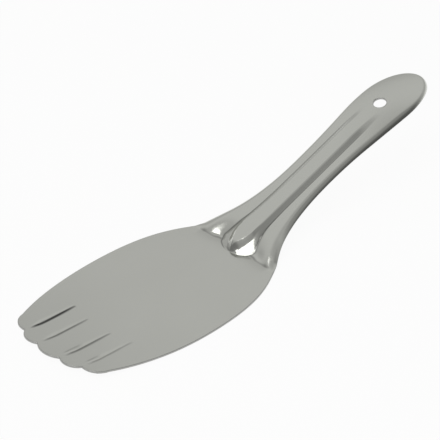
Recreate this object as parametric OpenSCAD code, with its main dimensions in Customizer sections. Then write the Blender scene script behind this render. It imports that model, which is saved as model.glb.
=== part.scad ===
// Rice server: one stainless sheet, blanked and pressed to shape
// Millimetres, +Z up: the blade lies on Z = 0, its scalloped front faces -Y and the handle rises towards +Y
// s is the distance along the sheet from the middle scallop and x is the distance from its centre line

/* [Sheet] */
// Thickness of the sheet
sheet_t = 1; // [0.6:0.1:1.4]

/* [Outline] */
// Middle scallop to the widest part of the blade
tip_to_wide = 62.2; // [52:0.2:80]
// Widest part of the blade to the waist of the handle
wide_to_waist = 104.8; // [96:0.2:140]
// Waist to the widest part of the grip
waist_to_bulge = 48.2; // [45:0.2:80]
// Widest part of the grip to the end
bulge_to_end = 24.8; // [18:0.2:30]
// Width of the blade
blade_w = 73.4; // [66:0.2:90]
// Width of the handle at its waist
waist_w = 21.8; // [20:0.2:26]
// Width of the grip
grip_w = 26.6; // [26:0.2:34]
// How far back from the widest part the front ellipse would close
front_reach = 75.6; // [70:0.2:100]
// Pull of the outline back from the widest part
wide_pull = 60.8; // [45:0.2:65]
// Pull of the outline forward from the waist
waist_pull = 60; // [45:0.2:65]
// Pull of the outline back from the waist
grip_pull = 23.5; // [12:0.5:25]
// Pull of the outline forward from the grip
bulge_pull = 17; // [10:0.5:20]

/* [Scalloped front] */
// Width of the middle scallop
mid_w = 14.1; // [12:0.1:16]
// Width of the scallops beside it
side_w = 11; // [9.4:0.1:12]
// Radius of the arc that the notches lie on
front_r = 52.8; // [40:0.2:60]
// How far each scallop stands out from its notches
scallop_h = 2.6; // [1.6:0.1:3]
// How far the two outer scallops stand out
corner_h = 2.5; // [2:0.1:3.6]
// Station where the outer scallops meet the sides
corner_s = 12.3; // [11:0.1:16]

/* [Grooves] */
// Width of a groove
groove_w = 2.6; // [2.4:0.1:4]
// Depth of a groove
groove_d = 0.6; // [0.3:0.05:0.7]
// Distance of a groove behind its notch
groove_s = 2.6; // [1:0.1:4]
// Length of a groove
groove_l = 26; // [18:0.5:32]
// Distance behind its front at which a groove is deepest
peak_l = 8; // [4:0.5:10]

/* [Side profile] */
// Length of the curl at the front of the blade
curl_l = 60; // [45:0.5:70]
// Angle of the curl at the front edge
curl_a = 5.5; // [2:0.1:8]
// Station where the handle begins to rise
bend_s = 112.4; // [106:0.2:114]
// Radius of the rise
bend_r = 2; // [1.5:0.5:8]
// Angle at which the neck rises
neck_a = 36.4; // [24:0.2:40]
// Length over which the neck eases to the handle
neck_l = 14.6; // [9:0.2:18]
// Angle of the handle behind the neck
rise_a = 18.4; // [14:0.2:24]
// Angle of the handle where it begins to droop
top_a = 21; // [14:0.2:24]
// Length of the grip that droops towards the end
droop_l = 38.5; // [28:0.5:50]
// Angle of the handle at its end
tip_a = -1.4; // [-4:0.2:12]
// How far the middle of the grip stands above its sides
crown_h = 1.5; // [0:0.1:1.6]

/* [Rib] */
// Station of the front of the rib
nose_s = 110; // [104:0.2:111]
// Length of the rounded nose
nose_l = 7.4; // [6:0.2:12]
// Width of the rib at the nose
nose_w = 19.4; // [17:0.2:22]
// Height of the rib at the nose
nose_h = 3.2; // [2.4:0.1:3.6]
// Angle at which the front of the nose rises
nose_a = 64; // [50:1:66]
// Angle of the rib's top behind the nose
nose_b = 22; // [14:1:30]
// Length over which the front of the nose lifts off the blade
lip_l = 1.4; // [1.2:0.1:2.4]
// Width of the flank beside the nose
nose_flank = 6.2; // [5:0.1:7]
// Share of the nose's height that its gentle lower slope takes
nose_low = 0.68; // [0.5:0.02:0.9]
// Length over which the crest opens to its full width
crest_l = 11; // [8:0.5:16]
// Width of the rib along the grip
rib_w = 11.6; // [10:0.2:14]
// Height of the rib along the grip
rib_h = 1.35; // [0.8:0.05:2]
// Width of the flank along the grip
rib_flank = 3; // [2.4:0.1:3.6]
// Distance over which the rib narrows
rib_taper = 9; // [6:0.5:16]
// Distance over which the rib sinks to its height along the grip
sink_l = 11.7; // [8:0.1:20]
// Length of the rib behind its nose
rib_l = 92; // [76:0.5:92]
// Length over which the rib runs out
run_l = 20; // [12:0.5:26]
// Depth of the hollows beside the nose
hollow_d = 1.4; // [0.4:0.1:1.6]
// Length over which the hollows run out
hollow_l = 15; // [8:0.5:20]

/* [Turned edge] */
// Width of the turned edge along the grip
turn_w = 2; // [1.8:0.1:3.4]
// Depth of the turned edge
turn_d = 1.8; // [1.2:0.1:3]
// Extra width of the turned edge at the shoulder
shoulder_w = 4.4; // [1:0.1:5]
// Distance over which the extra width fades
shoulder_l = 18; // [8:0.5:24]
// Angle through which the edge is turned
turn_a = 50; // [40:1:76]

/* [Hang hole] */
// Radius of the hang hole
hole_r = 3; // [2:0.1:4]
// Centre of the hang hole to the end of the handle
hole_to_end = 27.4; // [22:0.2:32]

/* [Hidden] */
s_wide = tip_to_wide;
s_waist = s_wide + wide_to_waist;
s_bulge = s_waist + waist_to_bulge;
s_end = s_bulge + bulge_to_end;
s_hole = s_end - hole_to_end;
s_rise = bend_s + bend_r * neck_a * PI / 180;
s_ease = s_rise + neck_l;
s_droop = s_end - droop_l;
// rows run square to the axis from here back
s_square = corner_s + groove_l;
// columns have moved over to the rib and the turned edge by here
s_neck = min(bend_s, nose_s) - sheet_t;
// columns to each side: crest of the rib, its flank, the flat beside it, the turned edge
crest_n = 4;
flank_n = 6;
flat_n = 4;
turn_n = 4;
columns = crest_n + flank_n + flat_n + turn_n;

function smooth(t) = let (u = min(max(t, 0), 1)) u * u * (3 - 2 * u);
function mix(a, b, t) = a + (b - a) * t;
function bez(a, b, c, d, t) =
    a * pow(1 - t, 3) + 3 * b * t * pow(1 - t, 2) + 3 * c * t * t * (1 - t) + d * pow(t, 3);
function solve(a, b, c, d, s, lo = 0, hi = 1, n = 26) =
    let (m = (lo + hi) / 2)
    n == 0 ? m
    : bez(a, b, c, d, m) < s ? solve(a, b, c, d, s, m, hi, n - 1)
    : solve(a, b, c, d, s, lo, m, n - 1);

// Half width of the blank: front ellipse, two pulled curves and the round end
function half_w(s) =
    s <= s_wide ? blade_w / 2 * sqrt(max(0, 1 - pow((s_wide - s) / front_reach, 2)))
    : s <= s_waist ?
        bez(blade_w / 2, blade_w / 2, waist_w / 2, waist_w / 2,
            solve(s_wide, s_wide + wide_pull, s_waist - waist_pull, s_waist, s))
    : s <= s_bulge ?
        bez(waist_w / 2, waist_w / 2, grip_w / 2, grip_w / 2,
            solve(s_waist, s_waist + grip_pull, s_bulge - bulge_pull, s_bulge, s))
    : grip_w / 2 * sqrt(max(0, 1 - pow((s - s_bulge) / bulge_to_end, 2)));

// Side profile: each leg is a length, a starting angle and a finishing angle
legs = [
    [curl_l, -curl_a, 0],
    [bend_s - curl_l, 0, 0],
    [s_rise - bend_s, 0, neck_a],
    [neck_l, neck_a, rise_a],
    [s_droop - s_ease, rise_a, top_a],
    [droop_l, top_a, tip_a]
];
function run(d, a, b) =
    abs(b - a) < 1e-6 ? [d * cos(a), d * sin(a)]
    : let (r = d * 180 / PI / (b - a)) [r * (sin(b) - sin(a)), r * (cos(a) - cos(b))];
function walk(s, i = 0, from = [0, 0]) =
    let (g = legs[i], a = mix(g[1], g[2], s / g[0]))
    s <= g[0] || i == len(legs) - 1 ? concat(from + run(s, g[1], a), a)
    : walk(s - g[0], i + 1, from + run(g[0], g[1], g[2]));
// Height above the flat of the blade, and a share that follows it and then levels off at one
level = walk(bend_s)[1];
function risen(s) = s <= bend_s ? 0 : max(0, walk(s)[1] - level);
function share(u) = let (v = min(u, 1.5)) v - 4 * pow(v, 3) / 27;

// Scalloped front edge, from the centre line to the corner
function arc_s(x) = front_r - sqrt(front_r * front_r - x * x);
function notch(k) =
    let (x = mid_w / 2 + side_w * (k - 1))
    [x, arc_s(x) - arc_s(mid_w / 2) + scallop_h];
corner = [half_w(corner_s), corner_s];
function lobe(a, b, h, t) =
    let (c = b - a, l = norm(c), r = (l * l / 4 + h * h) / (2 * h))
    a + c * t + [c.y, -c.x] / l * (sqrt(r * r - pow(l * (t - 0.5), 2)) - r + h);
mid_t = groove_w / 2 / mid_w;
side_t = groove_w / 2 / side_w;
front = concat(
    [for (t = [0.5, 0.75 - mid_t / 2, 1 - mid_t, 1 - mid_t / 2])
        lobe([-notch(1).x, notch(1).y], notch(1), scallop_h, t)],
    [for (t = [0, side_t / 2]) lobe(notch(1), notch(2), scallop_h, t)],
    [for (i = [0:3]) lobe(notch(1), notch(2), scallop_h, mix(side_t, 1 - side_t, i / 3))],
    [lobe(notch(1), notch(2), scallop_h, 1 - side_t / 2)],
    [for (t = [0, side_t / 2]) lobe(notch(2), corner, corner_h, t)],
    [for (i = [0:5]) lobe(notch(2), corner, corner_h, mix(side_t, 1, i / 5))]
);

// Half width of the rib's foot and of its crest, both closing in an arch at the nose
nose_c = nose_s + nose_l;
function fade(s) = exp(-max(0, s - nose_c) / rib_taper);
function rib_half(s) = mix(rib_w, nose_w, fade(s)) / 2;
function flank(s) = mix(rib_flank, nose_flank, pow(fade(s), 2));
function foot(s) = rib_half(s) * sqrt(max(0, 1 - pow(max(0, nose_c - s) / nose_l, 2)));
function crest(s) =
    (rib_half(s) - flank(s)) * (1 - pow(1 - min(max((s - nose_s - sheet_t) / crest_l, 0), 1), 1.5));

// Share of the height at share u of a flank: parabolas at the foot and the crest, straight between
function slope(u, low, high) =
    let (v = min(max(u, 0), 1), m = 2 / (2 - low - high))
    v < low ? m * v * v / (2 * low)
    : v > 1 - high ? 1 - m * pow(1 - v, 2) / (2 * high)
    : m * (v - low / 2);
// The nose has a gentle lower slope and a steep one above it
function nose_up(u) = nose_low * slope(u, 0.12, 0.2) + (1 - nose_low) * slope(2 * u - 1, 0.3, 0.12);
function rib_up(x, s) =
    let (f = foot(s), u = (f - abs(x)) / max(f - crest(s), sheet_t / 5))
    mix(slope(u, 0.25, 0.25), nose_up(u), fade(s));

// Height of the rib's top: a cubic over the nose, then sinking to the grip and running out
nose_top = risen(nose_c) + nose_h;
function nose_z(t) =
    nose_l * tan(nose_a) * t * pow(1 - t, 2)
    + nose_top * t * t * (3 - 2 * t)
    - nose_l * tan(nose_b) * t * t * (1 - t);
function rib_top(s) =
    s <= nose_s ? 0
    : s < nose_c ? max(0, smooth((s - nose_s) / lip_l) * nose_z((s - nose_s) / nose_l) - risen(s))
    : mix(rib_h, nose_h, exp(-(s - nose_c) / sink_l)) * (1 - smooth((s - nose_c - rib_l) / run_l + 1));
function rib(x, s) = rib_top(s) * rib_up(x, s);

// Hollows between the rib and the turned edge, deepest beside the nose
function hollow(x, s) =
    s <= bend_s || s >= s_rise + hollow_l ? 0
    : let (
        b = rib_half(s),
        f = half_w(s) - turn_band(s) + 0.3 * turn_w,
        u = 0.95 * risen(s) / hollow_d,
        deep = hollow_d * u / pow(1 + pow(u, 6), 1 / 6) * (1 - smooth((s - s_rise) / hollow_l))
    )
    deep * smooth((f - abs(x)) / (f - b)) * pow(1 - rib_up(x, s), 2);

// Depth of the four grooves, pointed at both ends
function groove(x, s) =
    let (k = abs(x) < (mid_w + side_w) / 2 ? 1 : 2, n = notch(k), d = s - groove_s - n.y)
    d <= 0 || d >= groove_l ? 0
    : let (
        swell = d < peak_l ? smooth(d / peak_l) : pow(1 - (d - peak_l) / (groove_l - peak_l), 0.8),
        w = groove_w * (0.45 + 0.55 * swell),
        u = (abs(x) - n.x) / w
    )
    abs(u) >= 0.5 ? 0 : groove_d * swell * pow(cos(180 * u), 2);

// How far the grip falls away to each side
function crown(x, s) =
    crown_h * smooth((s - s_waist) / waist_to_bulge) * pow(2 * x / grip_w, 2);

// Turned edge: its width, and its depth, which stays level with the blade at first
function turn_band(s) = turn_w + shoulder_w * exp(-max(0, s - bend_s) / shoulder_l);
function turn_depth(s) = turn_d * share(risen(s) / turn_d);
function turn_angle(j) = turn_a * max(0, j - columns + turn_n) / turn_n;

// Column places across a row of half length l
function front_x(j, l) =
    let (n = notch(2).x, f = front[j].x)
    f <= n ? f : mix(n, l, (f - n) / (corner.x - n));
function handle_x(j, l, s) =
    let (b = rib_half(s), c = b - flank(s), f = l - turn_band(s), k = j - crest_n, m = k - flank_n)
    k <= 0 ? c * j / crest_n
    : m <= 0 ? mix(c, b, k / flank_n)
    : m <= flat_n ? mix(b, f, m / flat_n)
    : mix(f, l, sin(turn_angle(j)) / sin(turn_a));
function column_x(j, l, s) =
    mix(front_x(j, l), handle_x(j, l, s), smooth((s - s_square) / (s_neck - s_square)));

// Rows: station at the edge, station on the axis, and how square the row is
function spread(a, b, n) = [for (i = [0:n - 1]) mix(a, b, i / n)];
front_n = 14;
fan_n = 14;
s_calm = max(s_ease, nose_c + nose_l / 2);
square_rows = concat(
    spread(s_square, s_neck, 9),
    spread(s_neck, nose_c, 14),
    spread(nose_c, s_calm, 8),
    spread(s_calm, s_bulge, 18)
);
rows = concat(
    [for (i = [0:front_n - 1]) [mix(corner_s, s_square, i / front_n), 0, i / front_n]],
    [for (s = square_rows) [s, s, 1]],
    [for (i = [0:fan_n])
        [s_bulge + bulge_to_end * sin(90 * i / fan_n), s_bulge + bulge_to_end * 0.55 * i / fan_n, 1]]
);
last = len(rows) - 1;

// A grid point on the flat blank, then on the pressed middle surface
function blank(r, j) =
    r[2] < 1 ?
        [j == columns ? half_w(r[0]) : front_x(j, half_w(r[0])), mix(front[j].y, s_square, r[2])]
    : let (w = half_w(r[0]), l = norm([w, r[0] - r[1]]), d = column_x(j, l, r[0]) / l)
        [w * d, mix(r[1], r[0], d)];
function press(r, j) =
    let (
        p = blank(r, j),
        drop = turn_depth(r[0]) * (1 - cos(turn_angle(j))) / (1 - cos(turn_a)),
        d = hollow(p.x, p.y) + groove(p.x, p.y) + crown(p.x, p.y) + drop,
        c = walk(p.y)
    )
    [p.x, c[0] + d * sin(c[2]), c[1] - d * cos(c[2]) + rib(p.x, p.y)];
middle = [for (r = rows) [for (j = [0:columns]) press(r, j)]];
function flip(p) = [-p.x, p.y, p.z];
function normal(i, j) =
    i == last && j == 0 ? normal(i - 1, 0)
    : let (
        a = middle[min(i + 1, last)][j] - middle[max(i - 1, 0)][j],
        b = middle[i][min(j + 1, columns)] - (j == 0 ? flip(middle[i][1]) : middle[i][j - 1]),
        n = cross(b, a),
        m = i == last || j == 0 ? [0, n.y, n.z] : n
    )
    m / norm(m);

// Both faces of the sheet, left side mirrored from the right
function face_points(up) =
    let (half = [for (i = [0:last]) [for (j = [0:columns]) middle[i][j] + normal(i, j) * up * sheet_t / 2]])
    [for (i = [0:last]) for (j = [-columns:columns]) j < 0 ? flip(half[i][-j]) : half[i][j]];
points = concat(face_points(1), face_points(-1));
wide = 2 * columns + 1;
function at(i, j, under) =
    under * (last + 1) * wide + i * wide + columns + (i == last ? abs(j) : j);
function quad(a, b, c, d) = [[a, b, c], [a, c, d]];
skin = [for (i = [0:last - 1]) for (j = [-columns:columns - 1]) for (under = [0, 1])
    let (a = at(i, j, under), b = at(i, j + 1, under), c = at(i + 1, j + 1, under), d = at(i + 1, j, under))
    each under == 1 ? quad(a, b, c, d) : quad(d, c, b, a)];
front_wall = [for (j = [-columns:columns - 1])
    each quad(at(0, j, 0), at(0, j + 1, 0), at(0, j + 1, 1), at(0, j, 1))];
side_wall = [for (i = [0:last - 1]) for (j = [-columns, columns])
    let (a = at(i, j, 0), b = at(i + 1, j, 0), c = at(i + 1, j, 1), d = at(i, j, 1))
    each j > 0 ? quad(a, b, c, d) : quad(d, c, b, a)];

// Origin under the middle of the server's length
y_all = [for (p = points) p.y];
z_all = [for (p = points) p.z];
seat = [0, -(min(y_all) + max(y_all)) / 2, -min(z_all)];
hole_at = walk(s_hole);

// The pressed sheet with its hang hole
module server() {
    color([0.72, 0.72, 0.7])
    translate(seat)
    difference() {
        polyhedron(points = points, faces = concat(skin, front_wall, side_wall), convexity = 8);
        translate([0, hole_at[0], hole_at[1]])
        rotate([hole_at[2], 0, 0])
        cylinder(r = hole_r, h = 6 * sheet_t, center = true, $fn = 64);
    }
}

server();
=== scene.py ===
# %% [markdown]
# # A rice server pressed from steel sheet
# The real server is a single blank of stainless sheet. A press cuts its outline, folds the neck, raises a
# rib along the handle, strikes four short grooves behind the scalloped front and turns the handle's edges
# down. The solid from the CAD step already has that form, with facets about a millimetre wide. Polished
# steel shows every facet, so this lesson works the same forms out again on a much finer grid and rounds
# the cut edges. Lengths are in millimetres until the mesh is made, and then in metres.

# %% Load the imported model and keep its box
import math

import bpy
import numpy as np
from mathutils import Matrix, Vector


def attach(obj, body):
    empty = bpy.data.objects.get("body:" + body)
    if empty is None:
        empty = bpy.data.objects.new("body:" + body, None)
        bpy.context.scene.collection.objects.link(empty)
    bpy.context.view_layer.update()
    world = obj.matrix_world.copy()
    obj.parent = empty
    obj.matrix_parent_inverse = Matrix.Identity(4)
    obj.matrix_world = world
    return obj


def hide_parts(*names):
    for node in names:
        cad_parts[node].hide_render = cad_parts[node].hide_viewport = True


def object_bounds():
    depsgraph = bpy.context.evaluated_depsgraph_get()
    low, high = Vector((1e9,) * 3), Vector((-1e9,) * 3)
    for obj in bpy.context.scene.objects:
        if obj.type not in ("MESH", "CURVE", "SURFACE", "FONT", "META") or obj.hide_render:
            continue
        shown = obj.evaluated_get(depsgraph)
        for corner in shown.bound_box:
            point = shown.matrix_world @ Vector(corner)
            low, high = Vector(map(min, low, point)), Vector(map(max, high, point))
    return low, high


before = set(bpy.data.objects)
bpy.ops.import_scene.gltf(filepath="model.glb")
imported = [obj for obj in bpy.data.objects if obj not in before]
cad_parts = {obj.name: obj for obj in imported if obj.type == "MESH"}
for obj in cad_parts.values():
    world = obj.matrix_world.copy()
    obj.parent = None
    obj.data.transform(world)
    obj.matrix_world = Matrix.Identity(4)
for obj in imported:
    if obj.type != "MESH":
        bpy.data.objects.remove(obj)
cad_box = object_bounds()
print("solid model, mm:", [round(1000 * (b - a), 2) for a, b in zip(*cad_box)])

# %% [markdown]
# ## Smooth mixes
# Pressed metal has no jumps: one form always runs into the next. Two helpers do nearly all of that work,
# a straight mix and a step with soft ends. They take whole arrays, as every function in this lesson does.

# %% Helpers for mixing


def ease(t):
    """Smooth step: 3 t squared minus 2 t cubed, held at 0 and 1 outside that span."""
    t = np.clip(t, 0.0, 1.0)
    return t * t * (3.0 - 2.0 * t)


def between(a, b, t):
    """Straight mix: a at t = 0, b at t = 1."""
    return a + (b - a) * t


print("ease at a quarter, a half and three quarters:", ease(np.array([0.25, 0.5, 0.75])).round(3))

# %% [markdown]
# ## The blank
# The blank is the flat sheet before it is pressed. s runs along it from the middle scallop to the end of
# the handle, and x runs across it from the centre line. The outline could be drawn as a curve object, but
# a function that gives the half width at any s is easier to press, because each row of the mesh can ask
# it how far to reach.

# %% Outline of the blank
sheet_t = 1.0
s_wide, s_waist, s_bulge, s_end = 62.2, 167.0, 215.2, 240.0
blade_w, waist_w, grip_w = 73.4, 21.8, 26.6
front_reach = 75.6
wide_pull, waist_pull, grip_pull, bulge_pull = 60.8, 60.0, 23.5, 17.0
curve_shares = np.linspace(0.0, 1.0, 2001)


def pulled_curve(s0, w0, pull0, s1, w1, pull1):
    """Cubic from (s0, w0) to (s1, w1), level at both ends; a longer pull keeps it level for longer."""
    t = curve_shares
    b0, b1, b2, b3 = (1 - t) ** 3, 3 * t * (1 - t) ** 2, 3 * t * t * (1 - t), t ** 3
    s = s0 * b0 + (s0 + pull0) * b1 + (s1 - pull1) * b2 + s1 * b3
    return s, w0 * (b0 + b1) + w1 * (b2 + b3)


taper = pulled_curve(s_wide, blade_w / 2, wide_pull, s_waist, waist_w / 2, waist_pull)
swell = pulled_curve(s_waist, waist_w / 2, grip_pull, s_bulge, grip_w / 2, bulge_pull)


def half_width(s):
    """Half width at s: part of an ellipse, two pulled curves through the waist, then half an ellipse."""
    front = blade_w / 2 * np.sqrt(np.clip(1 - ((s_wide - s) / front_reach) ** 2, 0, 1))
    end = grip_w / 2 * np.sqrt(np.clip(1 - ((s - s_bulge) / (s_end - s_bulge)) ** 2, 0, 1))
    return np.select([s <= s_wide, s <= s_waist, s <= s_bulge],
                     [front, np.interp(s, *taper), np.interp(s, *swell)], end)


print("half width at the neck, mm:", half_width(np.array([105.0, 112.0, 120.0])).round(2))

# %% [markdown]
# ## The scalloped front
# Five shallow scallops meet at four notches. Each scallop is an arc through two points, so its height
# above the straight line between them is the only number that it needs. The outer two run on into the
# sides.

# %% Notches and scallops
mid_w, side_w, front_r = 14.1, 11.0, 52.8
scallop_h, corner_h, corner_s = 2.6, 2.5, 12.3


def notch(k):
    """Notch k on the right, on an arc of radius front_r; the first lies a scallop's height back."""
    x = mid_w / 2 + side_w * (k - 1)
    first = math.sqrt(front_r ** 2 - mid_w ** 2 / 4)
    return np.array([x, first - math.sqrt(front_r ** 2 - x * x) + scallop_h])


def scallop(a, b, h, t):
    """Point at share t of an arc from a to b that stands h in front of the chord."""
    c = b - a
    l = math.hypot(*c)
    r = (l * l / 4 + h * h) / (2 * h)
    out = np.sqrt(r * r - (l * (t - 0.5)) ** 2) - r + h
    return a + c * t[:, None] + np.array([c[1], -c[0]]) / l * out[:, None]


corner = np.array([float(half_width(np.array(corner_s))), corner_s])
print("notches at", notch(1).round(2), notch(2).round(2), "and the last scallop ends at", corner.round(2))

# %% [markdown]
# ## Where the grid turns its corner
# A grid of four-sided cells has a corner where its front edge ends and its side begins. At the end of the
# outer scallop the outline already runs straight back, and cells with their corner there would fold over.
# So the corner lies further forward on that scallop, where the arc runs back about as fast as it runs
# out.

# %% Corner of the grid and the points of the front edge
corner_slope, crowding, lobe_crowding = 0.9, 0.55, 1.5
mid_n, side_n, lobe_n = 16, 24, 22
lobe = scallop(notch(2), corner, corner_h, curve_shares)
steep = int(np.argmax(np.gradient(lobe[:, 1]) > corner_slope * np.gradient(lobe[:, 0])))


def edge_x(s):
    """Half width at the cut edge: the outer scallop ahead of its end, the blank's outline behind it."""
    return np.where(s < corner_s, np.interp(s, lobe[steep:, 1], lobe[steep:, 0]), half_width(s))


def crowded(n, a, b):
    """n + 1 shares from a to b, moved by part of a sine wave towards the notches and grooves."""
    t = np.linspace(a, b, n + 1)
    return t - crowding * np.sin(2 * np.pi * t) / (2 * np.pi)


lobe_shares = curve_shares[steep] * np.linspace(0.0, 1.0, lobe_n + 1) ** lobe_crowding
front_edge = np.vstack([
    scallop(notch(1) * [-1.0, 1.0], notch(1), scallop_h, crowded(mid_n, 0.5, 1.0)),
    scallop(notch(1), notch(2), scallop_h, crowded(side_n, 0.0, 1.0))[1:],
    scallop(notch(2), corner, corner_h, lobe_shares)[1:],
])
columns = len(front_edge) - 1
print("columns to each side:", columns, "and the grid's corner at", lobe[steep].round(2))

# %% [markdown]
# ## The side view
# Seen from the side the sheet is a single bent line. Its angle changes evenly between a few stations: the
# front curls up a little, the blade is flat, the neck folds up steeply and eases, the handle runs almost
# straight and its end droops. Adding up the cosine and sine of that angle along s gives the line itself.

# %% Side line from its angle
curl_a, neck_a, rise_a, top_a, tip_a = 5.5, 36.4, 18.4, 21.0, -1.4
curl_l, bend_s, bend_r, neck_l, droop_l = 60.0, 112.4, 2.0, 14.6, 38.5
s_rise = bend_s + bend_r * math.radians(neck_a)
s_ease = s_rise + neck_l
angle_at = np.array([[0.0, -curl_a], [curl_l, 0.0], [bend_s, 0.0], [s_rise, neck_a], [s_ease, rise_a],
                     [s_end - droop_l, top_a], [s_end, tip_a]])
fine_n = 48000
fine_s = np.linspace(0.0, s_end, fine_n + 1)
fine_a = np.radians(np.interp(fine_s, *angle_at.T))


def add_up(v):
    """Running sum of v along the sheet, with half of each end of a step."""
    return np.concatenate([[0.0], np.cumsum((v[1:] + v[:-1]) / 2) * (fine_s[1] - fine_s[0])])


fine_y, fine_z = add_up(np.cos(fine_a)), add_up(np.sin(fine_a))
fine_z = fine_z - np.interp(bend_s, fine_s, fine_z)


def side_line(s):
    """(y, z, angle) at s, read from the sums; z is measured from the flat of the blade."""
    return np.interp(s, fine_s, fine_y), np.interp(s, fine_s, fine_z), np.interp(s, fine_s, fine_a)


def risen(s):
    """How far the side line has climbed above the flat of the blade, behind the bend."""
    return np.where(s > bend_s, np.maximum(0.0, side_line(s)[1]), 0.0)


print("height of the end, mm:", fine_z[-1].round(2), "length seen from above:", fine_y[-1].round(2))

# %% [markdown]
# ## The rib from above
# The rib is a long tongue with a round nose that starts in the blade. Its foot and its crest are two
# lines on the blank, and the flank lies between them. On the nose the flank has two straight slopes, a
# gentle one and a steeper one above it, so the steel mirrors two parts of the room with a clean line
# between. Along the grip it is a single slope with soft ends. A bevelled solid could give such a flank,
# but not the change from one to the other.

# %% Shapes of a flank
nose_low, upper_from = 0.74, 0.62
foot_soft, crest_soft, upper_foot_soft, upper_crest_soft = 0.04, 0.004, 0.2, 0.008


def flank_curve(u, foot, crest):
    """Share of the height at share u: a parabola at the foot, a straight line, a parabola at the crest."""
    u = np.clip(u, 0.0, 1.0)
    m = 2.0 / (2.0 - foot - crest)
    return np.where(u < foot, m * u * u / (2 * foot),
                    np.where(u > 1 - crest, 1 - m * (1 - u) ** 2 / (2 * crest), m * (u - foot / 2)))


def flank_rise(u):
    """Two slopes: a share nose_low of the height rises over the whole flank, the rest beyond upper_from."""
    upper = flank_curve((u - upper_from) / (1 - upper_from), upper_foot_soft, upper_crest_soft)
    return nose_low * flank_curve(u, foot_soft, crest_soft) + (1 - nose_low) * upper


print("two slopes at", upper_from, "of the flank:", flank_rise(np.array([upper_from])).round(3))

# %% Foot and crest of the rib
nose_s, nose_l, nose_w, nose_flank = 110.0, 7.4, 19.4, 6.2
rib_w, rib_flank, rib_taper, rib_soft = 11.6, 3.0, 9.0, 0.25
crest_l, crest_power, least_flank = 11.0, 1.5, 0.2
slopes_l, slopes_fade = 3.0, 9.0
nose_c = nose_s + nose_l


def nose_fade(s):
    """1 over the nose, then falling away by e for each rib_taper behind it."""
    return np.exp(-np.maximum(0.0, s - nose_c) / rib_taper)


def rib_half(s):
    """Half width of the rib: the nose's half width, mixed into the grip's with nose_fade."""
    return between(rib_w, nose_w, nose_fade(s)) / 2


def flank_width(s):
    """Width of the flank: the nose's, mixed into the grip's with the square of nose_fade."""
    return between(rib_flank, nose_flank, nose_fade(s) ** 2)


def foot_x(s):
    """Half width at the rib's foot; ahead of nose_c it closes as a quarter ellipse."""
    return rib_half(s) * np.sqrt(np.clip(1 - (np.clip(nose_c - s, 0, None) / nose_l) ** 2, 0, 1))


def crest_x(s):
    """Half width of the rib's crest, which opens from a point over crest_l."""
    opened = 1 - (1 - np.clip((s - nose_s - sheet_t) / crest_l, 0, 1)) ** crest_power
    return (rib_half(s) - flank_width(s)) * opened


def flank_share(x, s):
    """0 at the rib's foot and 1 at its crest, in proportion to the way between them."""
    return (foot_x(s) - np.abs(x)) / np.maximum(foot_x(s) - crest_x(s), least_flank)


def rib_share(x, s):
    """Share of the rib's height at (x, s): two slopes on the nose, fading into one soft slope behind it."""
    u = flank_share(x, s)
    on_two = 1 - ease((s - nose_c - slopes_l) / slopes_fade)
    return between(flank_curve(u, rib_soft, rib_soft), flank_rise(u), on_two)


print("half width of the foot at nose_c:", foot_x(np.array([nose_c])).round(2), "mm")

# %% [markdown]
# ## The rib's height
# The crest leaves the blade steeply and flattens into the rising handle, so its height over the side line
# is not even: it is what is left of the crest's own curve once the side line has climbed. Behind the nose
# the rib sinks to a low ridge and runs out before the hang hole.

# %% Height of the rib
nose_h, nose_a, nose_b, lip_l = 3.2, math.radians(64.0), math.radians(22.0), 1.4
rib_h, sink_l, rib_l, run_l = 1.35, 11.7, 92.0, 20.0


def rib_rise(s):
    """Crest over the side line: a cubic from the blade, set by its end slopes, then a fall to a low rib."""
    tall = between(rib_h, nose_h, np.exp(-np.maximum(0.0, s - nose_c) / sink_l))
    tall = tall * (1 - ease((s - nose_c - rib_l + run_l) / run_l))
    t = np.clip((s - nose_s) / nose_l, 0, 1)
    crest = (nose_l * math.tan(nose_a) * t * (1 - t) ** 2 + (risen(nose_c) + nose_h) * t * t * (3 - 2 * t)
             - nose_l * math.tan(nose_b) * t * t * (1 - t))
    return np.where(s < nose_c, np.maximum(0.0, ease((s - nose_s) / lip_l) * crest - risen(s)), tall)


def rib(x, s):
    """Height that the press raises straight up: the crest's height times the flank's share."""
    return rib_rise(s) * rib_share(x, s)


print("nose from", nose_s, "to", nose_c, "mm; the rib runs out at", nose_c + rib_l)

# %% [markdown]
# ## Turned edges and hollows
# The handle's edges are turned down for stiffness and so that they don't cut the hand. The band is wide
# at the shoulder and narrow along the grip. Beside the nose the sheet is drawn into two hollows that run
# out along the handle. Both start from nothing at the bend, because there the press has no room to go
# below the blade.

# %% Turned edge and hollow as depths
turn_w, turn_d, turn_a = 2.0, 1.8, math.radians(50.0)
shoulder_w, shoulder_l = 4.4, 18.0
hollow_d, hollow_l, hollow_climb, hollow_knee = 1.4, 15.0, 0.95, 5
hollow_overlap, least_hollow = 0.6, 0.1


def turn_band(s):
    """Width of the turned edge: turn_w, plus shoulder_w that falls away by e for each shoulder_l."""
    return turn_w + shoulder_w * np.exp(-np.maximum(0.0, s - bend_s) / shoulder_l)


def settle(u):
    """Follows u at first and levels off at 1: u minus four 27ths of u cubed, up to u = 1.5."""
    u = np.clip(u, 0.0, 1.5)
    return u - 4 * u ** 3 / 27


def turn_depth(s):
    """Depth of the turned edge: level with the blade until its full depth is reached."""
    return turn_d * settle(risen(s) / turn_d)


def hollow(x, s):
    """Depth beside the nose: follows the neck's climb, runs out over hollow_l, ends at the turned edge."""
    near, far = rib_half(s), half_width(s) - turn_band(s) + hollow_overlap
    up = hollow_climb * risen(s) / hollow_d
    deep = hollow_d * up / (1 + up ** hollow_knee) ** (1 / hollow_knee)
    deep = deep * (1 - ease((s - s_rise) / hollow_l))
    inside = ease((far - np.abs(x)) / np.maximum(far - near, least_hollow))
    return deep * inside * (1 - rib_share(x, s)) ** 2


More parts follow.
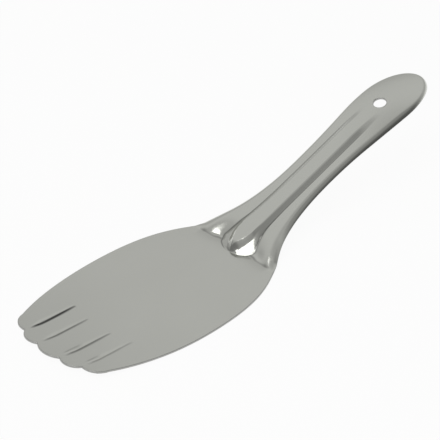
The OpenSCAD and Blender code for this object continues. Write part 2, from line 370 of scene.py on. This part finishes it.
print("turned edge at the shoulder:", turn_band(np.array([bend_s])).round(2), "mm wide")

# %% [markdown]
# ## Grooves and crown
# Four short grooves are struck behind the notches. Each is a trough with pointed ends that is deepest a
# third of the way back. The grip is a little crowned, so its middle stands above its sides. Depths add
# up, so all that is pressed down is one sum.

# %% Grooves, crown and the sum of all that is sunk
groove_w, groove_d, groove_l, peak_l, groove_s = 2.6, 0.55, 26.0, 8.0, 2.6
groove_point, groove_power = 0.45, 0.8
crown_h = 1.5
groove_split = (mid_w + side_w) / 2


def groove_place(x, s):
    """(swell, off): swell is 0 at a groove's ends and 1 at its deepest, off is the way to its middle."""
    outer = np.abs(x) >= groove_split
    off = np.abs(x) - np.where(outer, notch(2)[0], notch(1)[0])
    d = s - groove_s - np.where(outer, notch(2)[1], notch(1)[1])
    behind = np.clip(1 - (d - peak_l) / (groove_l - peak_l), 0, 1) ** groove_power
    return np.where((d > 0) & (d < groove_l), np.where(d < peak_l, ease(d / peak_l), behind), 0.0), off


def groove(x, s):
    """Depth of the troughs: a squared cosine across, narrower towards the ends, as deep as the swell."""
    swelled, off = groove_place(x, s)
    u = np.clip(off / (groove_w * between(groove_point, 1.0, swelled)), -0.5, 0.5)
    return groove_d * swelled * np.cos(np.pi * u) ** 2


def crown(x, s):
    """How far the grip falls away to each side: a parabola that grows from the waist to the bulge."""
    return crown_h * ease((s - s_waist) / (s_bulge - s_waist)) * (2 * x / grip_w) ** 2


def sunk(x, s):
    """Depth below the side line at (x, s), turned edge left out."""
    return hollow(x, s) + groove(x, s) + crown(x, s)


print("deepest groove, mm:", groove(notch(2)[0], notch(2)[1] + groove_s + peak_l).round(2))

# %% [markdown]
# ## Rows and columns that follow the forms
# A plain square grid would cut across the scallops, the rib and the round end and leave stair steps in
# the shine. Here the columns start at the scallops and slide over to the rib's flank and the turned edge
# by the time they reach the neck. The rows start as the scalloped edge, become square, and open like a
# fan round the end of the handle.

# %% Stations of the rows
front_n, blade_n, neck_n, rise_n, grip_n, fan_n = 48, 48, 60, 34, 76, 45
hole_r, s_hole, hole_rows, bulge_rows, fan_reach = 3.0, 212.6, 21, 9, 0.55
s_square, s_neck = corner_s + groove_l, bend_s - 3 * sheet_t
hole_step = (s_bulge - s_hole) / bulge_rows
s_near_hole = s_hole - hole_rows * hole_step


def spread(a, b, n):
    """n even steps from a, with b left out."""
    return np.linspace(a, b, n, endpoint=False)


square_s = np.concatenate([
    spread(s_square, s_neck, blade_n), spread(s_neck, nose_c, neck_n), spread(nose_c, s_ease, rise_n),
    spread(s_ease, s_near_hole, grip_n), spread(s_near_hole, s_bulge, hole_rows + bulge_rows)])
fan = np.linspace(0.0, 1.0, fan_n + 1)
blend_r = spread(0.0, 1.0, front_n)
edge_s = np.concatenate([
    between(lobe[steep, 1], s_square, blend_r), square_s,
    s_bulge + (s_end - s_bulge) * np.sin(fan * np.pi / 2)])
axis_s = np.concatenate([0 * blend_r, square_s, s_bulge + fan_reach * (s_end - s_bulge) * fan])
rows = len(edge_s)
hole_row = front_n + int(np.argmin(np.abs(square_s - s_hole)))
print("rows:", rows, "row through the hang hole at s =", edge_s[hole_row].round(3))

# %% Spacing of the columns
crest_n, flank_n, flat_n, turn_n = 14, 22, 13, 13
least_foot, least_crest = 3.0, 0.7
col = np.arange(columns + 1)
turned = turn_a * np.clip(col - columns + turn_n, 0, None) / turn_n


def front_columns(l):
    """Columns inside the outer notch keep their x; those outside it stretch to the half length l."""
    n, f = notch(2)[0], front_edge[:, 0]
    return np.where(f <= n, f, n + (l - n) * (f - n) / (f[-1] - n))


def handle_columns(l, s):
    """Columns over the crest, the flank and the flat beside the rib, then by equal turns over the edge."""
    foot, crest = np.maximum(foot_x(s), least_foot), np.maximum(crest_x(s), least_crest)
    flat = l - turn_band(s)
    k = col - crest_n
    m = k - flank_n
    over_crest = crest * (1 - (1 - np.clip(col / crest_n, 0, 1)) ** 2)
    over_flank = between(crest, foot, 0.5 - 0.5 * np.cos(np.pi * np.clip(k / flank_n, 0, 1)))
    over_edge = between(flat, l, np.sin(turned) / math.sin(turn_a))
    return np.where(k <= 0, over_crest, np.where(m <= 0, over_flank, np.where(
        m <= flat_n, between(foot, flat, m / flat_n), over_edge)))


print("columns over crest, flank, flat and turned edge:", crest_n, flank_n, flat_n, turn_n)

# %% Grid on the flat blank, right half
row_edge, row_axis = edge_s[:, None], axis_s[:, None]
w = edge_x(row_edge)
reach = np.hypot(w, row_edge - row_axis)
on_handle = ease((row_edge - s_square) / (s_neck - s_square))
across = between(front_columns(reach), handle_columns(reach, row_edge), on_handle)
across = across / np.maximum(reach, 1e-9)
grid_x, grid_s = w * across, between(row_axis, row_edge, across)
front = np.arange(front_n)
grid_x[front] = front_columns(w[front])
grid_s[front] = between(front_edge[:, 1], s_square, blend_r[:, None])
print("grid on the blank:", grid_x.shape, "widest half, mm:", grid_x.max().round(2))

# %% [markdown]
# ## The hang hole
# A boolean cut would leave long thin faces round the hole, and they shimmer in polished steel. Instead
# the square rings of the grid round the hole are bent into circles: each ring keeps its number of points,
# the innermost ring lies exactly on the hole, and the outermost stays where the grid had it. At the
# hole's two sides the columns stand close together, and a few rings overlap there by a little over 0.1 mm.

# %% Bend the grid round the hole
full_x = np.hstack([-grid_x[:, :0:-1], grid_x])
full_s = np.hstack([grid_s[:, :0:-1], grid_s])
side = np.arange(-columns, columns + 1)
hole_in, hole_out, ring_step = 12, 20, 0.22
di = (np.arange(rows) - hole_row)[:, None] + 0 * side[None]
dj = side[None] + 0 * di
ring = np.maximum(np.abs(di), np.abs(dj))
wide_on = np.abs(dj) >= np.abs(di)
turn = np.pi / 4 * np.where(wide_on, di / np.maximum(np.abs(dj), 1), dj / np.maximum(np.abs(di), 1))
round_x = np.where(wide_on, np.cos(turn) * np.sign(dj), np.sin(turn))
round_s = np.where(wide_on, np.sin(turn), np.cos(turn) * np.sign(di))
ring_r = np.where(ring <= hole_in, hole_r * ring / hole_in, hole_r + ring_step * (ring - hole_in))
loose = np.where(ring <= hole_out, ease((ring - hole_in) / (hole_out - hole_in)), 1.0)
full_x = between(ring_r * round_x, full_x, loose)
full_s = between(s_hole + ring_r * round_s, full_s, loose)
print("points on the hole's edge:", 8 * hole_in)

# %% [markdown]
# ## Pressing the blank
# Now the flat grid is pressed. Each point moves to its place on the side line, down along the line's own
# normal by what is sunk, and straight up by the rib: a rib raised along the normal would fold into itself
# at the tight bend. The turned edge is measured across the row, because round the end of the handle it
# follows the outline.

# %% Middle surface of the sheet
edge_drop = turn_depth(row_edge) * (1 - np.cos(turned)) / (1 - math.cos(turn_a))
edge_drop[front] = 0.0


def pressed(x, s, turn_drop=0.0):
    """Place of the blank's point (x, s): on the side line, sunk along its normal, raised straight up."""
    y, z, a = side_line(s)
    depth = sunk(x, s) + turn_drop
    return np.stack([x, y + depth * np.sin(a), z - depth * np.cos(a) + rib(x, s)], axis=-1)


middle = pressed(full_x, full_s, np.hstack([edge_drop[:, :0:-1], edge_drop]))
print("middle surface spans, mm:", np.ptp(middle.reshape(-1, 3), axis=0).round(2))

# %% [markdown]
# ## Normals
# A mirror finish shows the slightest error in the normals. Over most of the sheet the grid's own steps
# give them, as a cross product. At the front the cells are skewed between the scallops and the grooves,
# so there the formula itself is measured a little to each side of the point.

# %% Normals of the middle surface
probe = 0.05


def unit(v):
    """Each vector divided by its own length."""
    return v / np.maximum(np.linalg.norm(v, axis=-1, keepdims=True), 1e-12)


def grid_normal(p):
    """Cross product of the steps along the columns and along the rows."""
    return unit(np.cross(np.gradient(p, axis=1), np.gradient(p, axis=0)))


normal = grid_normal(middle)
normal[-1] = unit(normal[-2] * [0.0, 1.0, 1.0])
x, s = full_x[front], full_s[front] + probe
normal[front] = unit(np.cross(pressed(x + probe, s) - pressed(x - probe, s),
                              pressed(x, s + probe) - pressed(x, s - probe)))
print("normals measured from the formula:", normal[front].shape[:2], "of", normal.shape[:2])

# %% [markdown]
# ## Which way the thickness goes
# The two faces lie half a thickness to each side of the middle surface. Laid off along the normals, the
# sharp crest of the nose would open into a blunt strip. Near the nose the thickness therefore follows the
# side line's normal, which is the same all across a row, and the top's normals are taken from the top
# itself.

# %% Direction of the thickness and normals of the top
nose_ahead, nose_behind, nose_blend = 2.0, 8.0, 16.0
lean = side_line(full_s)[2]
line_normal = np.stack([0 * lean, -np.sin(lean), np.cos(lean)], axis=-1)
on_nose = ease((crest_n + flank_n + flat_n - np.abs(side)[None]) / flat_n)
on_nose = on_nose * ease((full_s - s_neck) / nose_ahead)
on_nose = (on_nose * (1 - ease((full_s - nose_c - nose_behind) / nose_blend)))[..., None]
lift = unit(between(normal, line_normal, on_nose))
top = middle + lift * sheet_t / 2
top_normal = np.where(on_nose > 0, grid_normal(top), normal)
for way in (-1, 1):
    at_crest, on_flank = columns + way * crest_n, columns + way * (crest_n + 1)
    by_nose = on_nose[:, at_crest] > 0.5
    top_normal[:, at_crest] = np.where(by_nose, top_normal[:, on_flank], top_normal[:, at_crest])
print("points whose thickness follows the side line:", int((on_nose > 0.5).sum()))

# %% [markdown]
# ## Painted shade in the grooves
# Each groove gets a dark line of painted shade that stands in for the shade in its narrow trough: on the
# real sheet the left one is nearly black and the right one hardly shows, and the right pair has a faint
# second line on its other rim. The painted shade is a number from 0 to 1 at each point of the top, kept as
# an attribute that the steel's colour reads. A painted image could do this too, but a formula stays sharp
# at any distance.

# %% Painted shade in the grooves and on their rims
# Painted shade in the grooves: where its line lies and how it is shaped, and how strong it is in each
# groove from left to right.
groove_shade_x, groove_shade_power, groove_shade_point = 0.9, 0.4, 0.35
groove_shade_w, groove_shade_more = 1.6, 1.2
groove_shade_left, groove_shade_mid_left, groove_shade_mid_right, groove_shade_right = 1.4, 0.7, 0.74, 0.36
# A fainter line of painted shade on the other rim of the right pair's grooves.
rim_x, rim_w, rim_shade_strength, rim_start, rim_s, rim_fade = 2.2, 0.4, 0.34, 0.3, 13.0, 5.0


def bell(d, width):
    """1 at d = 0, falling off to both sides as e to the minus square of d over the width."""
    return np.exp(-(d / width) ** 2)


swelled, off = groove_place(full_x - groove_shade_x, full_s)
groove_shade_strength = np.select([full_x < -groove_split, full_x < 0, full_x < groove_split],
                   [groove_shade_left, groove_shade_mid_left, groove_shade_mid_right], groove_shade_right)
groove_shade_wide = groove_shade_w + groove_shade_more * np.minimum(groove_shade_strength, 1.0) ** 2
groove_shade_wide = groove_shade_wide * between(groove_shade_point, 1.0, np.sqrt(swelled))
groove_shade = groove_shade_strength * swelled ** groove_shade_power * np.cos(np.pi * np.clip(off / groove_shade_wide, -0.5, 0.5))
groove_shade = np.minimum(1.0, groove_shade)
rim_shade = rim_shade_strength * bell(off + rim_x, rim_w) * ease(swelled / rim_start)
rim_shade = rim_shade * (1 - ease((full_s - rim_s) / rim_fade)) * (full_x > 0)
print("dullest stroke:", groove_shade.max().round(2), "dullest rim line:", rim_shade.max().round(2))

# %% [markdown]
# ## Painted shade in the folds
# Thin grey lines of painted shade run round the foot of the nose and along the bend to both sides, with a
# painted dark spot where the bend ends and a soft band of painted shade on the blade ahead of the bend.
# They stand in for the shade at the bottom of sharp folds. The first mask measures how hollow the sheet
# is; the others follow lines along the bend and round the nose.

# %% Painted shade in hollow folds, measured from the normals
# How strong the painted shade in the folds is, and where it lies.
fold_from, fold_over, fold_shade, fold_below, fold_ahead = 0.3, 0.7, 0.8, 0.15, 2.0


def valley(axis):
    """Curvature along one grid direction, in 1/mm: minus the change of the normal along the step."""
    dp, dn = np.gradient(middle, axis=axis), np.gradient(normal, axis=axis)
    return -(dp * dn).sum(-1) / np.maximum((dp * dp).sum(-1), 1e-9)


# Painted shade in sharp hollow folds. It is stronger where the sheet is more hollow and runs from just
# ahead of the nose backwards, off the raised rib.
fold = fold_shade * ease((np.maximum(valley(0), valley(1)) - fold_from) / fold_over)
fold = np.where((full_s > nose_s - fold_ahead) & (rib_share(full_x, full_s) < fold_below), fold, 0.0)
print("points in a sharp fold:", int((fold > 0.5).sum()))

# %% Painted shade along the bend
# Painted shade along the bend: thin dark lines, a soft darker band on the blade just ahead of them, and a
# dark spot at each end of the bend.
line_s, line_bow, bow_x, bow_l, line_w = 1.1, 1.0, 10.0, 4.0, 0.6
line_in, line_end, line_fade = 0.5, 20.0, 2.0
line_x, line_shade = [9.0, 12.0, 14.0, 16.5, 18.5, 20.0], [0.36, 0.36, 0.22, 0.22, 0.3, 0.3]
shade_before_bend_strength, shade_before_bend_l = 0.13, 4.0
spot_shade, spot_x, spot_w, spot_l = 0.5, 19.2, 1.5, 1.0
away = np.abs(full_x)
bend_line = bend_s + line_s + line_bow * (1 - ease((away - bow_x) / bow_l))
beside = ease(away - foot_x(full_s) + line_in) * (1 - ease((away - line_end) / line_fade))
bend_shade = np.interp(away, line_x, line_shade) * bell(full_s - bend_line, line_w)
shade_before_bend = shade_before_bend_strength * bell(np.maximum(0.0, bend_line - full_s), shade_before_bend_l)
shade_before_bend = shade_before_bend * (1 - ease((full_s - bend_line) / line_w))
spot = spot_shade * bell(away - spot_x, spot_w) * bell(full_s - bend_line, spot_l)
print("bend line from s =", bend_line.min().round(1), "to", bend_line.max().round(1))

# %% Painted shade round the nose, and all painted shade together
# Painted shade round the nose: a dark line along its foot that is darker further back, and a dark patch
# high on its flank near the front.
foot_shade, foot_more, more_s, more_l = 0.45, 0.27, 118.0, 4.0
foot_in, foot_w, fade_s, fade_l = 0.15, 0.5, 124.0, 8.0
tip_shade, tip_s, tip_l = 0.42, 111.8, 1.4
tip_from, tip_over, tip_to, tip_past = 0.5, 0.2, 1.0, 0.1
foot_line_shade = foot_shade + foot_more * ease((full_s - more_s) / more_l)
foot_line_shade = foot_line_shade * bell(away - foot_x(full_s) + foot_in, foot_w)
foot_line_shade = foot_line_shade * (1 - ease((full_s - fade_s) / fade_l)) * (full_s > nose_s)
flank_u = flank_share(full_x, full_s)
tip_patch_shade = tip_shade * bell(full_s - tip_s, tip_l) * ease((flank_u - tip_from) / tip_over)
tip_patch_shade = tip_patch_shade * (1 - ease((flank_u - tip_to) / tip_past))
# All the painted shade together: the darkest value at each point.
painted_shade = np.maximum.reduce([fold, groove_shade, rim_shade, beside * (shade_before_bend + bend_shade), beside * spot,
                            foot_line_shade, tip_patch_shade])
print("share of the top that is marked:", (painted_shade > 0.1).mean().round(3))

# %% [markdown]
# ## Thickness and rounded edges
# A cut sheet is never left sharp: the edge is broken by tumbling, and that thin round catches the light.
# A Solidify and a Bevel modifier could do this, but the grid already knows its border, so the edge is a
# short profile carried round the border: a quarter circle, a straight drop and a second quarter circle.

# %% Number the points and find the two borders
number = np.arange(rows * (2 * columns + 1)).reshape(rows, -1)
number[-1, :columns] = number[-1, :columns:-1]
border = np.concatenate([number[0], number[1:, -1], number[-2:0:-1, 0]])
hole_i, hole_j = np.nonzero(ring == hole_in)
order = np.argsort(-np.arctan2(full_s[hole_i, hole_j] - s_hole, full_x[hole_i, hole_j]))
hole_border = number[hole_i[order], hole_j[order]]
cells = np.stack([number[:-1, :-1], number[:-1, 1:], number[1:, 1:], number[1:, :-1]], axis=-1)
open_cells = np.maximum.reduce([ring[:-1, :-1], ring[1:, 1:], ring[:-1, 1:], ring[1:, :-1]]) > hole_in
cells = cells[open_cells]
print("border points:", len(border), "and", len(hole_border), "faces on each side:", len(cells))

# %% Both faces, with their borders drawn in by the edge's radius
edge_r = 0.22
points, normals, lifts = middle.reshape(-1, 3), normal.reshape(-1, 3), lift.reshape(-1, 3)
count = len(points)


def outward(loop):
    """Direction that leaves the sheet at a border point: the border's direction crossed with the normal."""
    along = unit(np.roll(points[loop], -1, axis=0) - np.roll(points[loop], 1, axis=0))
    return unit(np.cross(along, normals[loop]))


inset = points.copy()
for loop in (border, hole_border):
    inset[loop] = points[loop] - edge_r * outward(loop)
coords = [inset + lifts * sheet_t / 2, inset - lifts * sheet_t / 2]
shading = [top_normal.reshape(-1, 3), -normals]
print("points on the two faces:", 2 * count)

# %% The edge between the faces
profile = np.radians([60.0, 30.0, 0.0, 0.0, -30.0, -60.0])
half_drop = (sheet_t / 2 - edge_r) * np.array([1, 1, 1, -1, -1, -1])
edge_quads = []
base = 2 * count
for loop in (border, hole_border):
    out, up = outward(loop), normals[loop]
    rings_here = [loop]
    for a, drop in zip(profile, half_drop):
        coords.append(points[loop] + out * edge_r * (math.cos(a) - 1) + up * (drop + edge_r * math.sin(a)))
        shading.append(out * math.cos(a) + up * math.sin(a))
        rings_here.append(base + np.arange(len(loop)))
        base += len(loop)
    rings_here.append(loop + count)
    for a, b in zip(rings_here[:-1], rings_here[1:]):
        edge_quads.append(np.stack([a, b, np.roll(b, -1), np.roll(a, -1)], axis=-1))
print("faces on the edges:", sum(len(q) for q in edge_quads))

# %% [markdown]
# ## The mesh
# The points of the hole's inside and of the doubled end row belong to no face, so they are dropped and
# the faces renumbered. The solid's box says where the front edge lies in the shared frame. The faces and
# the cut edge get a material each, because a sheared edge is never as bright as a rolled face.

# %% Make the mesh
faces = np.vstack([cells, cells[:, ::-1] + count] + edge_quads)
used, faces = np.unique(faces, return_inverse=True)
faces = faces.reshape(-1, 4)
front_y = 1000 * cad_box[0][1] + sheet_t / 2 * math.sin(math.radians(curl_a))
coords = (np.vstack(coords)[used] + [0.0, front_y, sheet_t / 2]) / 1000
shading = unit(np.vstack(shading)[used])
# The painted shade lies on the top only; the other points carry none.
painted_shade = np.concatenate([painted_shade.ravel(), np.zeros(base - count)])[used]
mesh = bpy.data.meshes.new("pressed_sheet")
mesh.from_pydata(coords.tolist(), [], faces.tolist())
mesh.polygons.foreach_set("use_smooth", np.ones(len(faces), dtype=bool))
mesh.polygons.foreach_set("material_index", (np.arange(len(faces)) >= 2 * len(cells)).astype(np.int32))
mesh.normals_split_custom_set_from_vertices(shading.tolist())
# The painted shade is stored as an attribute that the steel's colour reads.
mesh.attributes.new("painted_shade", "FLOAT", "POINT").data.foreach_set("value", painted_shade.astype(np.float32))
mesh.update()
sheet = bpy.data.objects.new("pressed_sheet", mesh)
bpy.context.scene.collection.objects.link(sheet)
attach(sheet, "root")
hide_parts("server")
print("sheet:", len(mesh.vertices), "points,", len(mesh.polygons), "faces")

# %% [markdown]
# ## The finish and the painted shade
# Stainless sheet leaves the rolling mill with a fine grain along its length, and handling leaves faint
# cloudy patches. The painted shade of the grooves and folds lies over both, mixing the colour towards near
# black. The pressed faces and the cut edge share all of this, so it is a node group that each material
# places with its own values. The group gives a colour and the grain; the shader stays in the material.

# %% Node group: rolled steel with painted shade
# The first colour is the near black that the painted shade of the grooves and folds mixes in.
painted_shade_colour, rolled_stretch = (0.03, 0.03, 0.028, 1.0), (1.0, 0.045, 1.0)
line_detail, line_roughness, cloud_detail = 4.0, 0.6, 3.0
inputs = (("Coordinates", "Vector"), ("Fineness", "Float"), ("Cloud size", "Float"), ("Dark", "Color"),
          ("Light", "Color"), ("Painted shade", "Float"))
outputs = (("Colour", "Color"), ("Grain", "Float"))


def wire(tree, *pairs):
    """Join each output socket to its input socket."""
    for a, b in pairs:
        tree.links.new(a, b)


def mix_colours(tree):
    """A Mix node set to colours."""
    node = tree.nodes.new("ShaderNodeMix")
    node.data_type = "RGBA"
    return node


steel_and_shade_group = bpy.data.node_groups.new("rolled_steel_and_painted_shade", "ShaderNodeTree")
for in_out, sockets in (("INPUT", inputs), ("OUTPUT", outputs)):
    for name, kind in sockets:
        steel_and_shade_group.interface.new_socket(name=name, in_out=in_out, socket_type="NodeSocket" + kind)
given, result = steel_and_shade_group.nodes.new("NodeGroupInput"), steel_and_shade_group.nodes.new("NodeGroupOutput")
stretch = steel_and_shade_group.nodes.new("ShaderNodeMapping")
stretch.inputs["Scale"].default_value = rolled_stretch
lines, clouds = steel_and_shade_group.nodes.new("ShaderNodeTexNoise"), steel_and_shade_group.nodes.new("ShaderNodeTexNoise")
lines.inputs["Detail"].default_value = line_detail
lines.inputs["Roughness"].default_value = line_roughness
clouds.inputs["Detail"].default_value = cloud_detail
# The second mix lays the painted shade over the clouded colour.
tint, shaded = mix_colours(steel_and_shade_group), mix_colours(steel_and_shade_group)
shaded.inputs["B"].default_value = painted_shade_colour
wire(steel_and_shade_group,
     (given.outputs["Coordinates"], stretch.inputs["Vector"]), (stretch.outputs[0], lines.inputs["Vector"]),
     (given.outputs["Fineness"], lines.inputs["Scale"]),
     (given.outputs["Coordinates"], clouds.inputs["Vector"]),
     (given.outputs["Cloud size"], clouds.inputs["Scale"]), (clouds.outputs["Fac"], tint.inputs["Factor"]),
     (given.outputs["Dark"], tint.inputs["A"]), (given.outputs["Light"], tint.inputs["B"]),
     (tint.outputs["Result"], shaded.inputs["A"]), (given.outputs["Painted shade"], shaded.inputs["Factor"]),
     (shaded.outputs["Result"], result.inputs["Colour"]), (lines.outputs["Fac"], result.inputs["Grain"]))
print("group made:", steel_and_shade_group.name, [item.name for item in steel_and_shade_group.interface.items_tree])

# %% Steel of the pressed faces and of the cut edge
grain_low, grain_high, grain_depth = 0.3, 0.7, 0.00002


def steel(name, dark, light, rough, fineness, cloud, bump):
    """Metal whose colour comes from the group and whose roughness runs over `rough` with the grain."""
    mat = bpy.data.materials.new(name)
    mat.use_nodes = True
    tree = mat.node_tree
    shader = tree.nodes["Principled BSDF"]
    shader.inputs["Metallic"].default_value = 1.0
    where = tree.nodes.new("ShaderNodeTexCoord")
    # This attribute carries the painted shade of the grooves and folds.
    painted_shade_attribute = tree.nodes.new("ShaderNodeAttribute")
    painted_shade_attribute.attribute_name = "painted_shade"
    group = tree.nodes.new("ShaderNodeGroup")
    group.node_tree = steel_and_shade_group
    for socket, value in (("Fineness", fineness), ("Cloud size", cloud), ("Dark", (*dark, 1.0)),
                          ("Light", (*light, 1.0))):
        group.inputs[socket].default_value = value
    span = tree.nodes.new("ShaderNodeMapRange")
    span.inputs["From Min"].default_value, span.inputs["From Max"].default_value = grain_low, grain_high
    span.inputs["To Min"].default_value, span.inputs["To Max"].default_value = rough
    relief = tree.nodes.new("ShaderNodeBump")
    relief.inputs["Strength"].default_value = bump
    relief.inputs["Distance"].default_value = grain_depth
    wire(tree,
         (where.outputs["Object"], group.inputs["Coordinates"]),
         (painted_shade_attribute.outputs["Fac"], group.inputs["Painted shade"]),
         (group.outputs["Colour"], shader.inputs["Base Color"]),
         (group.outputs["Grain"], span.inputs["Value"]),
         (span.outputs["Result"], shader.inputs["Roughness"]),
         (group.outputs["Grain"], relief.inputs["Height"]),
         (relief.outputs["Normal"], shader.inputs["Normal"]))
    return mat


mesh.materials.append(steel("pressed_steel", (0.58, 0.587, 0.545), (0.62, 0.627, 0.585), (0.12, 0.18),
                            2600.0, 26.0, 0.25))
mesh.materials.append(steel("cut_edge_steel", (0.36, 0.36, 0.345), (0.46, 0.46, 0.445), (0.3, 0.42),
                            3200.0, 300.0, 0.4))
print("finishes:", [m.name for m in mesh.materials])

# %% [markdown]
# ## The floor
# The server lies on a plain white floor. More light would burn out the steel long before the floor turned
# white, so the floor shows its own white to the camera and to the mirror of the steel, and only a small
# share of it is lit. That share keeps the shadow.

# %% Pale floor that keeps the shadow
floor_half, floor_z, own_white = 6.0, -5e-5, 0.94
floor_corners = [(-floor_half, -floor_half, floor_z), (floor_half, -floor_half, floor_z),
                 (floor_half, floor_half, floor_z), (-floor_half, floor_half, floor_z)]
floor_mesh = bpy.data.meshes.new("floor")
floor_mesh.from_pydata(floor_corners, [], [(0, 1, 2, 3)])
floor = bpy.data.objects.new("floor", floor_mesh)
bpy.context.scene.collection.objects.link(floor)
pale = bpy.data.materials.new("pale_floor")
pale.use_nodes = True
nodes = pale.node_tree.nodes
nodes.clear()
out = nodes.new("ShaderNodeOutputMaterial")
matt = nodes.new("ShaderNodeBsdfDiffuse")
matt.inputs["Color"].default_value = (0.9, 0.9, 0.89, 1.0)
white = nodes.new("ShaderNodeEmission")
white.inputs["Color"].default_value = (1.0, 1.0, 1.0, 1.0)
path = nodes.new("ShaderNodeLightPath")
seen, seen_too, share = (nodes.new("ShaderNodeMath") for k in range(3))
seen.operation, seen_too.operation, share.operation = "MAXIMUM", "MAXIMUM", "MULTIPLY"
share.inputs[1].default_value = own_white
both = nodes.new("ShaderNodeMixShader")
wire(pale.node_tree,
     (path.outputs["Is Camera Ray"], seen.inputs[0]), (path.outputs["Is Glossy Ray"], seen.inputs[1]),
     (seen.outputs[0], seen_too.inputs[0]), (path.outputs["Is Transmission Ray"], seen_too.inputs[1]),
     (seen_too.outputs[0], share.inputs[0]), (share.outputs[0], both.inputs["Fac"]),
     (matt.outputs[0], both.inputs[1]), (white.outputs[0], both.inputs[2]),
     (both.outputs[0], out.inputs["Surface"]))
floor_mesh.materials.append(pale)
print("floor at", round(floor_mesh.vertices[0].co.z * 1000, 3), "mm")

# %% [markdown]
# ## The sky
# Metal only shows what it mirrors, so the room matters more than the lamp. The blade and the rib mirror
# an even grey behind them on the left. The sky falls off to the right, which draws the dark flank of the
# rib and the dark turned edge, and a little to the front left, which shades the left hollow. An image of
# a studio would do as well; three ramps say the same in a few numbers: how far each heading belongs to
# the dark side, how bright the sky is at each height, and how much of that is left on the dark side.

# %% Grey sky with a dark side
dark_side = ((-180, 0.4), (-162, 0.6), (-145, 0.52), (-125, 0.42), (-110, 0.12), (-98, 0.0), (15, 0.0),
             (30, 0.25), (47, 0.9), (60, 1.0), (85, 1.0), (100, 0.7), (160, 0.6), (180, 0.3))
brightness = ((0.0, 0.6), (0.3, 0.53), (0.45, 0.545), (0.58, 0.66), (0.7, 0.685), (0.8, 0.69),
              (0.87, 0.66), (0.94, 0.58), (1.0, 0.48))
left_over = ((0.0, 0.18), (0.17, 0.18), (0.34, 0.25), (0.5, 0.34), (0.64, 0.44), (0.77, 0.48),
             (0.87, 0.51), (0.94, 0.57), (1.0, 1.0))
world = bpy.data.worlds.new("studio")
bpy.context.scene.world = world
world.use_nodes = True
nodes = world.node_tree.nodes
sky = nodes["Background"]


def grey_ramp(stops):
    """Colour ramp through grey stops, each a place and a value."""
    node = nodes.new("ShaderNodeValToRGB")
    elements = node.color_ramp.elements
    while len(elements) < len(stops):
        elements.new(0.5)
    for element, (place, value) in zip(elements, stops):
        element.position, element.color = place, (value, value, value, 1.0)
    return node


near = grey_ramp([(degrees / 360 + 0.5, value) for degrees, value in dark_side])
climb, dim = grey_ramp(brightness), grey_ramp(left_over)
way, axes = nodes.new("ShaderNodeTexCoord"), nodes.new("ShaderNodeSeparateXYZ")
heading = nodes.new("ShaderNodeMath")
heading.operation = "ARCTAN2"
round_about = nodes.new("ShaderNodeMapRange")
round_about.inputs["From Min"].default_value = -math.pi
round_about.inputs["From Max"].default_value = math.pi
shade = mix_colours(world.node_tree)
shade.inputs["A"].default_value = (1.0, 1.0, 1.0, 1.0)
wire(world.node_tree, (way.outputs["Generated"], axes.inputs[0]), (axes.outputs["X"], heading.inputs[0]),
     (axes.outputs["Y"], heading.inputs[1]), (heading.outputs[0], round_about.inputs["Value"]),
     (round_about.outputs[0], near.inputs["Fac"]), (near.outputs["Color"], shade.inputs["Factor"]),
     (axes.outputs["Z"], dim.inputs["Fac"]), (dim.outputs["Color"], shade.inputs["B"]),
     (shade.outputs["Result"], sky.inputs["Color"]), (axes.outputs["Z"], climb.inputs["Fac"]),
     (climb.outputs["Color"], sky.inputs["Strength"]))
print("sky stops:", len(dark_side), "headings,", len(brightness), "heights")

# %% [markdown]
# ## The soft box
# One soft box hangs a metre up, in front of the server, and faces straight down. The facet on the nose
# and the left hollow mirror it, and its edges give those bright patches their outline, so its place
# matters more than its power.

# %% Soft box overhead
lamp = bpy.data.lights.new("soft_box", "AREA")
lamp.shape = "RECTANGLE"
lamp.size, lamp.size_y = 0.74, 0.58
lamp.energy = 3.08
box = bpy.data.objects.new("soft_box", lamp)
bpy.context.scene.collection.objects.link(box)
box.location = (0.059, -0.45, 1.0)
box.rotation_euler = (0.0, 0.0, math.radians(15.0))
print("soft box", round(lamp.size, 2), "m wide at", [round(v, 2) for v in box.location])

# %% [markdown]
# ## The camera
# The camera stands to the right of the front and looks down at the server from far away, as a product
# photographer's does, so the picture is nearly free of perspective. Its angle, its distance and its scale
# were found by laying the outline over the photograph. The nearness is one over the distance, which is
# easier to fit than the distance itself.

# %% Camera at the photograph's angle
azimuth, elevation = math.radians(45.655), math.radians(35.189)
px_per_mm, nearness, picture_px, sensor = 2.255462, 0.000701, 440.0, 36.0
look_s, look_z, slide_right, slide_up = 120.0, 10.0, -11.170, 2.144
back = np.array([math.sin(azimuth) * math.cos(elevation), -math.cos(azimuth) * math.cos(elevation),
                 math.sin(elevation)])
right = np.array([math.cos(azimuth), math.sin(azimuth), 0.0])
aim_at = np.array([0.0, look_s + front_y, look_z + sheet_t / 2])
aim_at = aim_at + right * slide_right + np.cross(back, right) * slide_up
stand = aim_at + back / nearness
camera = bpy.data.cameras.new("camera")
camera.sensor_width = sensor
camera.lens = px_per_mm / nearness * sensor / picture_px
camera.clip_start, camera.clip_end = 0.01, 50.0
eye = bpy.data.objects.new("camera", camera)
bpy.context.scene.collection.objects.link(eye)
eye.location = stand / 1000
eye.rotation_euler = Vector(-back).to_track_quat("-Z", "Y").to_euler()
bpy.context.scene.camera = eye
bpy.context.scene.view_settings.view_transform = "Standard"
print("camera", round(camera.lens, 1), "mm lens at", (stand / 1000).round(3))

# %% [markdown]
# ## Compare sizes and finish
# ## The solid's box
# The fine sheet has to stay inside the solid's box, so the solid's box is printed here.

# %% Print the solid's box
print("solid, mm:", [[round(1000 * c, 2) for c in v] for v in cad_box])
